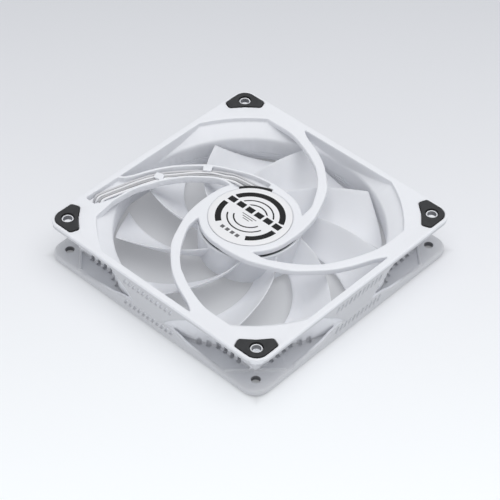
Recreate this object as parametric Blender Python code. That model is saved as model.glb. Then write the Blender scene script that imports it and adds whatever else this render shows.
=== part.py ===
"""A white 140 mm case fan, 25 mm thick, as an assembly of separate pieces.

Frame: +Z points to the exhaust side, where the stator arms and the label are.
The origin lies on the rotor's axis in the plane that the intake-side rubber pads rest on.
All driving dimensions are in millimetres and are turned into metres when a mesh is made.
"""

import math

import bmesh
import bpy
from mathutils import Matrix, Vector

MM = 0.001

# ---------------------------------------------------------------- dimensions
HALF = 70.0  # half of the 140 mm square
CORNER_R = 8.0  # outline radius at the four corners
THICK = 25.0  # pad to pad
PAD_PROUD = 0.6  # how far the rubber pads stand out of the plastic
Z_BOT = PAD_PROUD  # plastic, intake face
Z_TOP = THICK - PAD_PROUD  # plastic, exhaust face
LOW_TOP = 3.7  # upper face of the intake flange
UP_BOT = 21.4  # lower face of the exhaust flange
HOLE = 62.25  # half of the 124.5 mm screw hole spacing
HOLE_R = 2.15
BORE_R = 66.4
MOUTH = 66.5  # half of the square that bounds both mouths of the duct
MOUTH_R = 74.2  # radius of the exhaust mouth at the corners
WALL_R = 69.3  # outside of the duct wall
BLOCK = 59.3  # half width of the square blocks behind the corners

HUB_R = 25.6
HUB_TOP = 20.0
HUB_BOT = 2.9
TIP_R = 65.3
BLADES = 9

PLATE_R = 25.0  # stator hub plate
ARM_BOT = 21.2
CHANNEL_BOT = 20.6
CHANNEL_FLOOR = 21.5
WIRE_R = 0.6
WIRE_Z = CHANNEL_FLOOR + 0.3 + WIRE_R

SHAFT_R = 1.5
SLEEVE_BORE = 1.56
TUBE_IN, TUBE_OUT = 4.3, 5.4

for old in list(bpy.data.objects):
    bpy.data.objects.remove(old, do_unlink=True)


# ---------------------------------------------------------------- materials
def material(name, colour, rough, metal=0.0):
    mat = bpy.data.materials.new(name)
    mat.use_nodes = True
    shader = mat.node_tree.nodes["Principled BSDF"]
    shader.inputs["Base Color"].default_value = (*colour, 1)
    shader.inputs["Roughness"].default_value = rough
    shader.inputs["Metallic"].default_value = metal
    mat.diffuse_color = (*colour, 1)
    return mat


WHITE = material("white_plastic", (0.84, 0.85, 0.87), 0.45)
BLADE_WHITE = material("blade_plastic", (0.82, 0.83, 0.86), 0.35)
RUBBER = material("pad_rubber", (0.07, 0.07, 0.075), 0.8)
LABEL = material("label_film", (0.86, 0.86, 0.87), 0.5)
WIRE_WHITE = material("wire_sleeve", (0.8, 0.8, 0.82), 0.5)
BRASS = material("brass", (0.72, 0.52, 0.23), 0.3, 1.0)
STEEL = material("steel", (0.6, 0.6, 0.62), 0.3, 1.0)
LAMINATION = material("lamination", (0.32, 0.33, 0.35), 0.5, 1.0)
FERRITE = material("ferrite", (0.05, 0.045, 0.04), 0.7)
COPPER = material("copper", (0.75, 0.33, 0.16), 0.3, 1.0)
NYLON = material("nylon", (0.75, 0.74, 0.7), 0.5)
GREEN = material("board", (0.03, 0.2, 0.08), 0.4)
CHIP = material("chip", (0.03, 0.03, 0.03), 0.5)


# ---------------------------------------------------------------- helpers
def make(name, verts, faces, mat):
    """An object from points in millimetres."""
    mesh = bpy.data.meshes.new(name)
    mesh.from_pydata([Vector(v) * MM for v in verts], [], faces)
    bm = bmesh.new()
    bm.from_mesh(mesh)
    bmesh.ops.remove_doubles(bm, verts=bm.verts, dist=1e-7)
    bmesh.ops.recalc_face_normals(bm, faces=bm.faces)
    bm.to_mesh(mesh)
    bm.free()
    mesh.materials.append(mat)
    obj = bpy.data.objects.new(name, mesh)
    bpy.context.scene.collection.objects.link(obj)
    return obj


def loft(name, rings, mat=None):
    """A closed solid through rings that have the same number of points."""
    n = len(rings[0])
    verts = [p for ring in rings for p in ring]
    faces = [list(range(n))[::-1], [(len(rings) - 1) * n + i for i in range(n)]]
    for k in range(len(rings) - 1):
        for i in range(n):
            j = (i + 1) % n
            faces.append([k * n + i, k * n + j, (k + 1) * n + j, (k + 1) * n + i])
    return make(name, verts, faces, mat or WHITE)


def prism(name, outline, z0, z1, mat=None):
    return loft(name, [[(x, y, z0) for x, y in outline], [(x, y, z1) for x, y in outline]], mat)


def lathe(name, profile, mat, steps=48, turn=0.0):
    """Turns a profile of (r, z) about Z. A profile without an r of 0 is taken as a closed loop."""
    solid = profile[0][0] == 0 and profile[-1][0] == 0
    verts, rings = [], []
    for r, z in profile:
        if r == 0:
            rings.append([len(verts)] * steps)
            verts.append((0, 0, z))
            continue
        rings.append(list(range(len(verts), len(verts) + steps)))
        for i in range(steps):
            a = turn + 2 * math.pi * i / steps
            verts.append((r * math.cos(a), r * math.sin(a), z))
    faces = []
    for k in range(len(rings) - (1 if solid else 0)):
        low, high = rings[k], rings[(k + 1) % len(rings)]
        for i in range(steps):
            j = (i + 1) % steps
            face = []
            for v in (low[i], low[j], high[j], high[i]):
                if v not in face:
                    face.append(v)
            if len(face) > 2:
                faces.append(face)
    return make(name, verts, faces, mat)


def box(name, low, high, mat=None):
    x0, y0, z0 = low
    x1, y1, z1 = high
    return prism(name, [(x0, y0), (x1, y0), (x1, y1), (x0, y1)], z0, z1, mat)


def disc(x, y, r, steps=18):
    return [
        (x + r * math.cos(2 * math.pi * i / steps), y + r * math.sin(2 * math.pi * i / steps))
        for i in range(steps)
    ]


def rounded_square(half, radius, steps=4):
    points = []
    for k, (sx, sy) in enumerate([(1, 1), (-1, 1), (-1, -1), (1, -1)]):
        for i in range(steps + 1):
            a = math.pi / 2 * (k + i / steps)
            points.append(
                (sx * (half - radius) + radius * math.cos(a), sy * (half - radius) + radius * math.sin(a))
            )
    return points


def rounded(points, radii, steps=4):
    """A polygon with its corners rounded to the given radii."""
    out = []
    n = len(points)
    for i in range(n):
        p, a, b = Vector(points[i]), Vector(points[i - 1]), Vector(points[(i + 1) % n])
        r = radii[i]
        if r <= 0:
            out.append(tuple(p))
            continue
        da, db = (a - p).normalized(), (b - p).normalized()
        half = da.angle(db) / 2
        reach = r / math.tan(half)
        centre = p + (da + db).normalized() * (r / math.sin(half))
        start, end = p + da * reach - centre, p + db * reach - centre
        turn = start.angle_signed(end)
        for k in range(steps + 1):
            # angle_signed is positive clockwise
            t = -turn * k / steps
            out.append(
                (
                    centre.x + start.x * math.cos(t) - start.y * math.sin(t),
                    centre.y + start.x * math.sin(t) + start.y * math.cos(t),
                )
            )
    return out


def quarter(points, k):
    """Turns plan points by k quarter turns about the axis."""
    for _ in range(k % 4):
        points = [(-p[1], p[0], *p[2:]) for p in points]
    return points


def spline(points, steps):
    """A smooth curve through the points, with this many spans between each pair."""
    pts = [Vector(p) for p in points]
    pts = [2 * pts[0] - pts[1], *pts, 2 * pts[-1] - pts[-2]]
    out = []
    for i in range(1, len(pts) - 2):
        a, b, c, d = pts[i - 1 : i + 3]
        for k in range(steps):
            t = k / steps
            out.append(
                0.5
                * (2 * b + (c - a) * t + (2 * a - 5 * b + 4 * c - d) * t**2 + (3 * b - a - 3 * c + d) * t**3)
            )
    out.append(pts[-2])
    return [tuple(p) for p in out]


def boolean(obj, others, operation):
    """Joins or cuts at once, and removes the other objects."""
    for other in others if isinstance(others, list) else [others]:
        mod = obj.modifiers.new("cut", "BOOLEAN")
        mod.operation = operation
        mod.object = other
        mod.solver = "MANIFOLD"
        bpy.context.view_layer.update()
        graph = bpy.context.evaluated_depsgraph_get()
        mesh = bpy.data.meshes.new_from_object(obj.evaluated_get(graph))
        obj.modifiers.clear()
        old, obj.data = obj.data, mesh
        bpy.data.meshes.remove(old)
        bpy.data.objects.remove(other, do_unlink=True)
    return obj


def tidy(obj, angle=35):
    """Merges touching points, dissolves flat facets and shades round surfaces smooth."""
    bm = bmesh.new()
    bm.from_mesh(obj.data)
    bmesh.ops.remove_doubles(bm, verts=bm.verts, dist=2e-6)
    bmesh.ops.dissolve_degenerate(bm, edges=bm.edges, dist=2e-6)
    bmesh.ops.dissolve_limit(bm, angle_limit=math.radians(0.3), verts=bm.verts, edges=bm.edges)
    bm.to_mesh(obj.data)
    bm.free()
    obj.data.shade_smooth()
    obj.data.set_sharp_from_angle(angle=math.radians(angle))
    return obj


# ---------------------------------------------------------------- frame
def flange(name, z0, z1, low_edge, high_edge):
    """A square plate with rounded corners and small chamfers on its rim."""
    levels = [(z0, low_edge), (z0 + low_edge, 0), (z1 - high_edge, 0), (z1, high_edge)]
    return loft(
        name,
        [[(x, y, z) for x, y in rounded_square(HALF - c, CORNER_R - c)] for z, c in levels],
    )


def wall_radius(angle, z):
    """Outside of the duct body: the round wall, the square blocks behind the corners, and the flush middle of each side."""
    phi = (angle + math.pi / 4) % (math.pi / 2) - math.pi / 4
    width = 8.0 + 17.0 * max(0.0, (z - 8.0) / 14.0) ** 1.3  # half width of the flush middle
    u = abs(HALF * math.tan(phi))
    depth = 0.03 + 0.16 * max(0.0, u - width) ** 2
    flush = (HALF - depth) / math.cos(phi) if depth < 12 else 0
    cone = min(BORE_R + (z - 15.4) * 1.065 + 1.3, (HALF - 0.03) / math.cos(phi))
    return max(WALL_R, BLOCK / math.cos(phi), flush, cone)


SPANS = 80
levels = [1.6, 8.0, 11.0, 14.0, 17.0, 19.5, 21.3, 22.4]
frame = loft(
    "frame",
    [
        [
            (
                wall_radius(2 * math.pi * i / SPANS, z) * math.cos(2 * math.pi * i / SPANS),
                wall_radius(2 * math.pi * i / SPANS, z) * math.sin(2 * math.pi * i / SPANS),
                z,
            )
            for i in range(SPANS)
        ]
        for z in levels
    ],
)
boolean(frame, flange("low", Z_BOT, LOW_TOP, 0.8, 1.3), "UNION")
boolean(frame, flange("up", UP_BOT, Z_TOP, 0.4, 0.6), "UNION")

# Lower side walls: each stands on the intake flange's rim, and is highest at mid side.
side_profile = [
    (-46.5, 3.2), (46.5, 3.2), (41, 4.3), (32, 5.2), (25, 5.8), (20, 7.4), (16, 8.1), (7.5, 8.4),
    (-7.5, 8.4), (-16, 8.1), (-20, 7.4), (-25, 5.8), (-32, 5.2), (-41, 4.3),
]  # fmt: skip
for k in range(4):
    rings = []
    for depth, drop in ((1.9, 0), (0.9, 0), (0.03, 0.9)):
        rings.append(
            quarter([(u, -HALF + depth, z - (drop if z > 3.3 else 0)) for u, z in side_profile], k)
        )
    boolean(frame, loft("side", rings), "UNION")

# Low rib across each ear, between the screw hole and the open recess.
for k in range(4):
    rib = [(50.4, -66.9), (66.9, -50.4), (66.1, -49.6), (49.6, -66.1)]
    boolean(frame, prism("rib", quarter(rib, k), 3.3, 4.7), "UNION")

# The duct: flared intake mouth, round bore, conical exhaust mouth, all within the square mouth.
duct = lathe(
    "duct",
    [
        (0, -2), (70.6, -2), (70.6, 0.6), (68.8, 1.5), (67.8, 3.1), (67.3, 3.2), (67.3, 4.7), (66.9, 4.8), (66.9, 6.3),
        (66.65, 6.4), (66.65, 7.9), (BORE_R, 8.0), (BORE_R, 15.8), (66.95, 17.2), (73.9, 21.9), (MOUTH_R, 22.1),
        (MOUTH_R, 27), (0, 27),
    ],
    WHITE,
    80,
)  # fmt: skip
mouth = box("mouth", (-MOUTH, -MOUTH, -3), (MOUTH, MOUTH, 28))
boolean(duct, mouth, "INTERSECT")
boolean(frame, duct, "DIFFERENCE")

# Small pockets along the foot of the duct wall and of the corner blocks.
for k in range(4):
    for side in (-1, 1):
        for step in range(6):
            u = side * (27.4 + 4.3 * step)
            if abs(u) < 35.9:
                face = math.sqrt(WALL_R**2 - u**2)
            else:
                face = BLOCK
            deep = 1.0 if step < 3 else 1.6
            spots = [(u - 1, -face - 0.8), (u + 1, -face - 0.8), (u + 1, -face + deep), (u - 1, -face + deep)]
            boolean(frame, prism("spot", quarter(spots, k), LOW_TOP - 0.7, 6.4), "DIFFERENCE")

# Stator arm, plan outline: the outward-bulging edge, then the hollow edge back to the rim.
bulge = [(-22, 64.6), (-18, 62.4), (-10, 59.1), (-5, 56.6), (0, 53.5), (5, 49.4), (11.8, 42.8), (15.1, 38.6),
         (18.3, 32.6), (22.8, 22.0), (24.3, 15.5), (25.0, 10.0), (25.2, 5.0), (24.9, 0.5)]  # fmt: skip
hollow = [(17.9, 16.5), (16.7, 25.2), (14.4, 29.8), (11.3, 35.1), (7.6, 40.2), (3.6, 44.6), (-1, 48.5),
          (-5, 50.9), (-10, 53.5), (-15, 55.7), (-20, 57.5), (-25, 59.0), (-31, 59.8), (-44, 59.8)]  # fmt: skip
arm = [(-46, 61), (-46, 68), (-24, 68), (-24, 66.0), *bulge, *hollow]
for k in (0, 3, 2):
    boolean(frame, prism("arm", quarter(arm, k), ARM_BOT, Z_TOP), "UNION")

# The fourth arm is a channel for the wires: a floor between two rails.
outer_rail = quarter(bulge, 1)  # from the rim to the hub
inner_edge = [(-53.6, -51), (-54.5, -45), (-55.6, -38), (-55.3, -33.3), (-54.9, -29), (-54.0, -23.8), (-51.0, -16.3),
              (-48.5, -10.5), (-42.6, -1.7), (-36.3, 4.3), (-31.6, 8.0), (-27, 9.8), (-21.0, 9.8)]  # fmt: skip
floor = [(-68, -24), (-66, -24), *outer_rail[:-2], *[(23.4 * math.cos(math.radians(a)), 23.4 * math.sin(math.radians(a))) for a in (108, 120, 132, 144, 154)],
         *inner_edge[-2::-1], (-60, -53), (-68, -53)]
boolean(frame, prism("floor", floor, CHANNEL_BOT, CHANNEL_FLOOR), "UNION")


def offset(path, dist):
    """The path moved sideways, to its left for a positive distance."""
    out = []
    for i, p in enumerate(path):
        a, b = Vector(path[max(i - 1, 0)]), Vector(path[min(i + 1, len(path) - 1)])
        d = (b - a).normalized()
        out.append((p[0] - d.y * dist, p[1] + d.x * dist))
    return out


rail = [(-67.5, -24), *outer_rail]
strip = rail + offset(rail, -1.15)[::-1]
boolean(frame, prism("rail", strip, CHANNEL_BOT + 0.2, Z_TOP), "UNION")
inner = inner_edge[2:]
strip = inner + offset(inner, 1.15)[::-1]
boolean(frame, prism("rail", strip, CHANNEL_BOT + 0.2, Z_TOP), "UNION")
# The plate between the inner rail's foot and the rim.
plate = [(-53.6, -51), (-54.5, -45), (-55.6, -38), (-57.0, -37.5), (-60.0, -45.5), (-68, -45.5), (-68, -53), (-58, -53)]
boolean(frame, prism("plate", plate, UP_BOT, Z_TOP), "UNION")
# Retainer tabs over the channel.
tab = [(-42.6, 11.8), (-38.9, 14.3), (-36.6, 10.6), (-40.2, 8.2)]
boolean(frame, prism("tab", tab, 23.4, Z_TOP), "UNION")
tab = [(-55.6, -8.4), (-51.2, -7.2), (-49.2, -11.2), (-54.2, -12.2)]
boolean(frame, prism("tab", tab, 23.4, Z_TOP), "UNION")

# Hub plate with the label's recess, the wires' slot and the socket for the bearing tube.
hub_plate = lathe(
    "hub_plate",
    [(0, ARM_BOT), (5.75, ARM_BOT), (5.75, 18.0), (7.2, 18.0), (7.2, ARM_BOT), (PLATE_R, ARM_BOT), (PLATE_R, Z_TOP),
     (0, Z_TOP)],
    WHITE,
    72,
)  # fmt: skip
boolean(frame, hub_plate, "UNION")
boolean(frame, lathe("recess", [(0, 23.6), (20.9, 23.6), (20.9, 26), (0, 26)], WHITE, 72), "DIFFERENCE")
slot_angles = [math.radians(103 + 46 * i / 10) for i in range(11)]
slot = [(20.3 * math.cos(a), 20.3 * math.sin(a)) for a in slot_angles]
slot += [(22.6 * math.cos(a), 22.6 * math.sin(a)) for a in slot_angles[::-1]]
boolean(frame, prism("slot", slot, 19, 26), "DIFFERENCE")
# The gap in the hub plate's rim where the wires enter the channel.
gap_angles = [math.radians(110 + 43 * i / 6) for i in range(7)]
gap = [(21.8 * math.cos(a), 21.8 * math.sin(a)) for a in gap_angles]
gap += [(25.6 * math.cos(a), 25.6 * math.sin(a)) for a in gap_angles[::-1]]
boolean(frame, prism("gap", gap, CHANNEL_FLOOR, 26), "DIFFERENCE")
# The channel's last stretch, sunk into the flange, and its well, where the wires go down through the frame's left side.
trench = [(-66.4, -26.0), (-66.9, -46.0), (-60.4, -46.0), (-58.6, -37.0), (-57.9, -30.0), (-60.0, -25.0)]
boolean(frame, prism("trench", trench, CHANNEL_FLOOR, 26), "DIFFERENCE")
well = [(-66.9, -46.0), (-66.9, -38.6), (-59.9, -38.6), (-59.9, -42.0), (-61.0, -46.0)]
boolean(frame, prism("well", rounded(well, [1.2] * 5, 2), 17, 26), "DIFFERENCE")

# Screw holes, their bosses, and the pockets of the rubber pads on both faces.
PAD = [(54.2, 68.3), (52.6, 63.9), (58.8, 58.8), (63.9, 52.6), (68.3, 54.2), (68.3, 68.3)]
PAD_ROUND = [1.5, 1.4, 8.0, 1.4, 1.5, 5.9]


def pad_outline(grow):
    """The pad's plan at the +X +Y corner, grown by a clearance."""
    centre = Vector((62.6, 62.6))
    points = []
    for p in PAD:
        d = Vector(p) - centre
        points.append(tuple(centre + d * (1 + grow / (0.82 * d.length))))
    return rounded(points, [r + grow if i != 2 else r for i, r in enumerate(PAD_ROUND)], 2)


for k in range(4):
    hx, hy = quarter([(HOLE, HOLE)], k)[0]
    boolean(frame, prism("pocket", quarter(pad_outline(0.3), k), 22.9, 27), "DIFFERENCE")
    boolean(frame, prism("pocket", quarter(pad_outline(0.3), k), -1, 2.1), "DIFFERENCE")
    boolean(frame, prism("boss", disc(hx, hy, 2.9), 22.4, Z_TOP - 0.3), "UNION")
    boolean(frame, prism("boss", disc(hx, hy, 2.9), Z_BOT + 0.3, 2.8), "UNION")
    boolean(frame, prism("hole", disc(hx, hy, HOLE_R), -2, 30), "DIFFERENCE")

# A notch in the left side's low wall for the lead socket, and two cheeks on the recess floor that hold it.
boolean(frame, box("notch", (-72, -47.8, 3.7), (-66, -36.2, 8)), "DIFFERENCE")
boolean(frame, box("cheek", (-69.0, -49.0, 3.2), (-61, -47.8, 9.0)), "UNION")
boolean(frame, box("cheek", (-69.0, -36.2, 3.2), (-61, -35.0, 9.0)), "UNION")
tidy(frame)

# ---------------------------------------------------------------- rubber pads
for k in range(4):
    hx, hy = quarter([(HOLE, HOLE)], k)[0]
    outline = quarter(pad_outline(0), k)
    top = prism(f"rear_pad_{k + 1}", outline, 23.2, THICK, RUBBER)
    boolean(top, prism("cut", disc(hx, hy, 3.25), 20, 30), "DIFFERENCE")
    tidy(top)
    low = prism(f"front_pad_{k + 1}", outline, 0, 1.8, RUBBER)
    boolean(low, prism("cut", disc(hx, hy, 3.25), -5, 5), "DIFFERENCE")
    tidy(low)

# A black strip that closes the slot over the wires, flush with the hub plate.
arc = [math.radians(106 + 40 * i / 8) for i in range(9)]
strip = [(22.35 * math.cos(a), 22.35 * math.sin(a)) for a in arc]
for end, lean in ((arc[-1], 1), (arc[0], -1)):
    if lean < 0:
        strip += [(20.85 * math.cos(a), 20.85 * math.sin(a)) for a in arc[::-1]]
    for turn in (45, 90, 135):
        t = math.radians(turn if lean > 0 else 180 + turn)
        radial, along = 21.6 + 0.75 * math.cos(t), 0.75 * math.sin(t)
        strip.append(
            (radial * math.cos(end) - along * math.sin(end), radial * math.sin(end) + along * math.cos(end))
        )
tidy(prism("slot_cover", strip, 23.35, 24.2, RUBBER))

# ---------------------------------------------------------------- stator hub
tidy(lathe("label_disc", [(0, 23.9), (20.5, 23.9), (20.5, 24.25), (0, 24.25)], LABEL, 60))
tidy(lathe("bearing_tube", [(TUBE_IN, 6.6), (TUBE_OUT, 6.6), (TUBE_OUT, 20.9), (TUBE_IN, 20.9)], BRASS, 28))
tidy(lathe("bearing_sleeve", [(SLEEVE_BORE, 8.2), (4.0, 8.2), (4.0, 18.8), (SLEEVE_BORE, 18.8)], BRASS, 28))
tidy(lathe("oil_seal", [(1.9, 6.9), (4.0, 6.9), (4.0, 7.7), (1.9, 7.7)], NYLON, 24))
tidy(lathe("thrust_pad", [(0, 20.3), (3.9, 20.3), (3.9, 20.85), (0, 20.85)], NYLON, 24))
tidy(
    lathe(
        "shaft",
        [(0, 4.75), (SHAFT_R, 4.75), (SHAFT_R, 19.2), (1.0, 19.2), (1.0, 19.7), (SHAFT_R, 19.7), (1.1, 20.0), (0, 20.0)],
        STEEL,
        24,
    )
)
clip = lathe("shaft_clip", [(1.2, 19.3), (2.7, 19.3), (2.7, 19.6), (1.2, 19.6)], STEEL, 24)
boolean(clip, box("cut", (0, -0.5, 18), (4, 0.5, 21)), "DIFFERENCE")
tidy(clip)

# Stator core: a ring with four teeth that end in curved shoes.
def stator_plan(tooth, ring_out, tip, reach):
    points = []
    for k in range(4):
        a = math.pi / 2 * k
        c, s = math.cos(a), math.sin(a)
        arc = [math.radians(-reach + 2 * reach * i / 8) for i in range(9)]
        inner = math.sqrt(ring_out**2 - (tooth / 2) ** 2)
        one = [(inner, -tooth / 2), (17.0, -tooth / 2), (17.2 * math.cos(arc[0]), 17.2 * math.sin(arc[0]))]
        one += [(tip * math.cos(t), tip * math.sin(t)) for t in arc]
        one += [(17.2 * math.cos(arc[-1]), 17.2 * math.sin(arc[-1])), (17.0, tooth / 2), (inner, tooth / 2)]
        points += [(x * c - y * s, x * s + y * c) for x, y in one]
    return points


def stator_piece(name, z0, z1, mat, tooth, ring_out, tip, reach):
    piece = prism(name, stator_plan(tooth, ring_out, tip, reach), z0, z1, mat)
    boolean(piece, prism("bore", disc(0, 0, 5.75, 40), -5, 30), "DIFFERENCE")
    return tidy(piece)


stator_piece("stator_core", 8.5, 15.5, LAMINATION, 5.0, 8.2, 20.2, 34)
stator_piece("bobbin_upper", 15.8, 16.5, NYLON, 4.8, 8.0, 19.6, 32)
stator_piece("bobbin_lower", 7.5, 8.2, NYLON, 4.8, 8.0, 19.6, 32)
for k in range(4):
    coil = prism(
        f"coil_{k + 1}",
        rounded(quarter([(9.3, -5.4), (15.7, -5.4), (15.7, 5.4), (9.3, 5.4)], k), [1.0] * 4, 3),
        6.1,
        17.9,
        COPPER,
    )
    x0, y0 = quarter([(6.0, -2.9)], k)[0]
    x1, y1 = quarter([(19.0, 2.9)], k)[0]
    cut = box("cut", (min(x0, x1), min(y0, y1), 7.1), (max(x0, x1), max(y0, y1), 16.9))
    tidy(boolean(coil, cut, "DIFFERENCE"))

board = lathe("circuit_board", [(7.6, 18.3), (19.5, 18.3), (19.5, 19.2), (7.6, 19.2)], GREEN, 40)
tidy(board)
chip = box("driver_chip", (-3, -15.5, 19.5), (3, -11.0, 20.7), CHIP)
tidy(chip)
sensor = box("hall_sensor", (12.2, 12.2, 16.6), (14.6, 14.0, 18.0), CHIP)
tidy(sensor)

# ---------------------------------------------------------------- rotor
rotor = bpy.data.objects.new("rotor_axis", None)
bpy.context.scene.collection.objects.link(rotor)


def trailing(r):
    """Angle in degrees and height of the exhaust-side edge of the first blade, at a radius."""
    t = (r - 25.0) / (TIP_R - 25.0)
    return -16.0 - 47.0 * t + 12.0 * t * t, 18.4 - 2.9 * t


def leading(r):
    """The same for the intake-side edge."""
    t = (r - 25.0) / (TIP_R - 25.0)
    return -42.5 - 37.0 * t, 4.2 - 1.2 * t


def blade(name, turn, rows=6, cols=7):
    """One swept blade: a cambered sheet from the hub to the tip, thicker at its root."""
    top, low = [], []
    for i in range(rows + 1):
        r = 24.9 + (TIP_R - 24.9) * i / rows
        (a0, z0), (a1, z1) = trailing(r), leading(r)
        thick = 1.7 - 0.7 * i / rows
        for j in range(cols + 1):
            t = j / cols
            angle = math.radians(a0 + (a1 - a0) * t + turn)
            # The camber flattens the sheet towards its leading edge.
            z = z0 + (z1 - z0) * (t + (0.4 + 0.7 * i / rows) * t * (1 - t))
            edge = min(1.0, 0.7 + 1.5 * math.sin(math.pi * t))
            half = thick / 2 * edge
            top.append((r * math.cos(angle), r * math.sin(angle), z + half))
            low.append((r * math.cos(angle), r * math.sin(angle), z - half))
    n = (rows + 1) * (cols + 1)
    faces = []
    w = cols + 1
    for i in range(rows):
        for j in range(cols):
            a, b, c, d = i * w + j, i * w + j + 1, (i + 1) * w + j + 1, (i + 1) * w + j
            faces.append([a, b, c, d])
            faces.append([n + d, n + c, n + b, n + a])
    for i in range(rows):
        for j in (0, cols):
            a, b = i * w + j, (i + 1) * w + j
            faces.append([a, b, n + b, n + a])
    for j in range(cols):
        for i in (0, rows):
            a, b = i * w + j, i * w + j + 1
            faces.append([a, b, n + b, n + a])
    return make(name, top + low, faces, BLADE_WHITE)


impeller = lathe(
    "impeller",
    [
        (0, HUB_BOT), (23.6, HUB_BOT), (HUB_R, HUB_BOT + 1.6), (HUB_R, HUB_TOP), (24.4, HUB_TOP), (24.4, 4.45),
        (0, 4.45),
    ],
    BLADE_WHITE,
    72,
)  # fmt: skip
for i in range(BLADES):
    boolean(impeller, blade("blade", 40.0 * i), "UNION")
tidy(impeller)
tidy(
    lathe(
        "rotor_yoke",
        [(4.2, 4.75), (24.1, 4.75), (24.1, 19.3), (23.1, 19.3), (23.1, 5.6), (4.2, 5.6)],
        STEEL,
        48,
    )
)
tidy(lathe("magnet_ring", [(20.9, 7.0), (22.8, 7.0), (22.8, 18.3), (20.9, 18.3)], FERRITE, 48))
tidy(lathe("shaft_boss", [(1.8, 4.75), (3.9, 4.75), (3.9, 6.4), (1.8, 6.4)], BRASS, 24))
for name in ("impeller", "rotor_yoke", "magnet_ring", "shaft_boss", "shaft", "shaft_clip"):
    bpy.data.objects[name].parent = rotor

# ---------------------------------------------------------------- lead socket and wires
SOCKET = (-69.6, -47.5, 4.0), (-60.2, -36.5, 11.5)
socket = box("lead_socket", *SOCKET)
boolean(socket, box("cut", (-75, -46.7, 4.8), (-62.0, -37.3, 10.7)), "DIFFERENCE")
for i in range(4):
    y = -42.0 + 2.54 * (i - 1.5)
    boolean(socket, box("cut", (-65, y - 0.62, 7.1), (-55, y + 0.62, 8.4)), "DIFFERENCE")
tidy(socket)
for i in range(4):
    y = -42.0 + 2.54 * (i - 1.5)
    pin = box(f"contact_pin_{i + 1}", (-67.5, y - 0.32, 7.43), (-60.4, y + 0.32, 8.07), BRASS)
    tidy(pin)

# Lanes of the wires along the channel, from the hub's slot to the well.
channel_mid = [(-19.3, 17.0), (-24.5, 16.3), (-30.0, 13.6), (-35.6, 10.4), (-41.6, 5.4), (-47.0, -0.8), (-52.2, -7.6),
               (-55.6, -14.0), (-58.0, -20.6), (-59.8, -27.0), (-61.6, -33.2)]  # fmt: skip
lane_width = [1.75, 1.6, 1.5, 1.5, 1.5, 1.5, 1.5, 1.5, 1.5, 1.5, 1.5]
for i in range(4):
    lane = i - 1.5
    path = []
    for j, p in enumerate(channel_mid):
        a = Vector(channel_mid[max(j - 1, 0)])
        b = Vector(channel_mid[min(j + 1, len(channel_mid) - 1)])
        d = (b - a).normalized()
        side = Vector((-d.y, d.x)) * (-lane * lane_width[j])
        path.append((p[0] + side.x, p[1] + side.y, WIRE_Z))
    # Up from the board through the slot, at radius 21.45.
    angle = math.radians(112.0 + 8.6 * (3 - i))
    c, s = math.cos(angle), math.sin(angle)
    start = [(r * c, r * s, z) for r, z in ((17.3, 20.1), (20.3, 20.1), (21.4, 21.0), (22.0, 22.0))]
    # Down through the well, and apart to the four wire entries in the socket's top.
    y = -42.0 + 2.54 * (i - 1.5)
    x = -61.0 - 1.5 * i
    end = [
        (x + 0.1, -38.3, WIRE_Z),
        (x, -41.2, 21.5),
        (x, -42.0, 19.0),
        (0.6 * x - 0.4 * 61.4, -0.6 * 42.0 + 0.4 * y, 16.4),
        (-61.4, y, 13.4),
        (-61.4, y, 11.85),
    ]
    points = spline([*start, *path[1:-1], *end], 2)
    curve = bpy.data.curves.new(f"wire_{i + 1}", "CURVE")
    curve.dimensions = "3D"
    line = curve.splines.new("POLY")
    line.points.add(len(points) - 1)
    for point, p in zip(line.points, points):
        point.co = (p[0] * MM, p[1] * MM, p[2] * MM, 1)
    curve.bevel_depth = WIRE_R * MM
    curve.bevel_resolution = 1
    curve.use_fill_caps = True
    curve.materials.append(WIRE_WHITE)
    wire = bpy.data.objects.new(f"wire_{i + 1}", curve)
    bpy.context.scene.collection.objects.link(wire)
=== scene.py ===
import math

import bmesh
import bpy
import numpy as np
from mathutils import Matrix, Vector


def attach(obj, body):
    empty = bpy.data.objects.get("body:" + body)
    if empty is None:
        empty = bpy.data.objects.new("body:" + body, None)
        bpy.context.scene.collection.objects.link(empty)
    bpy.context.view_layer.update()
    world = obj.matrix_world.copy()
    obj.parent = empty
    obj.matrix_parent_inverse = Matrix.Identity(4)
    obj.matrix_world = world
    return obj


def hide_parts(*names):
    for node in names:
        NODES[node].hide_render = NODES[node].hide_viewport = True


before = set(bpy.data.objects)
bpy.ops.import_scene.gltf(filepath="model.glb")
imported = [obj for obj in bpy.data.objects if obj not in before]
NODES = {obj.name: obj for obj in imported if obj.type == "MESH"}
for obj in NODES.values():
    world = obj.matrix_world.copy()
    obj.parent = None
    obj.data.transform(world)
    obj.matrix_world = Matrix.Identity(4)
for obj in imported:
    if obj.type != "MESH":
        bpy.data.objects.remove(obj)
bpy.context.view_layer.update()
MM = 0.001

# ------------------------------------------------------------------ dimensions, in millimetres, as in the CAD
HALF, CORNER_R = 70.0, 8.0
THICK, PROUD = 25.0, 0.6
Z_BOT, Z_TOP = PROUD, THICK - PROUD
LOW_TOP, UP_BOT = 3.7, 21.4
HOLE, HOLE_R = 62.25, 2.15
BORE_R, MOUTH, MOUTH_R = 66.4, 66.5, 74.2
WALL_R, BLOCK = 69.3, 59.3
HUB_R, HUB_TOP, HUB_BOT = 25.6, 20.0, 2.9
TIP_R, BLADES = 65.3, 9
PLATE_R, ARM_BOT = 25.0, 21.2
CHANNEL_BOT, CHANNEL_FLOOR = 20.6, 21.5
WIRE_R = 0.6
WIRE_Z = CHANNEL_FLOOR + 0.3 + WIRE_R
VOXEL = 0.27
MOST_FACES = 165000


# ------------------------------------------------------------------ mesh helpers
def link(name, mesh):
    obj = bpy.data.objects.new(name, mesh)
    bpy.context.scene.collection.objects.link(obj)
    return obj


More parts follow.
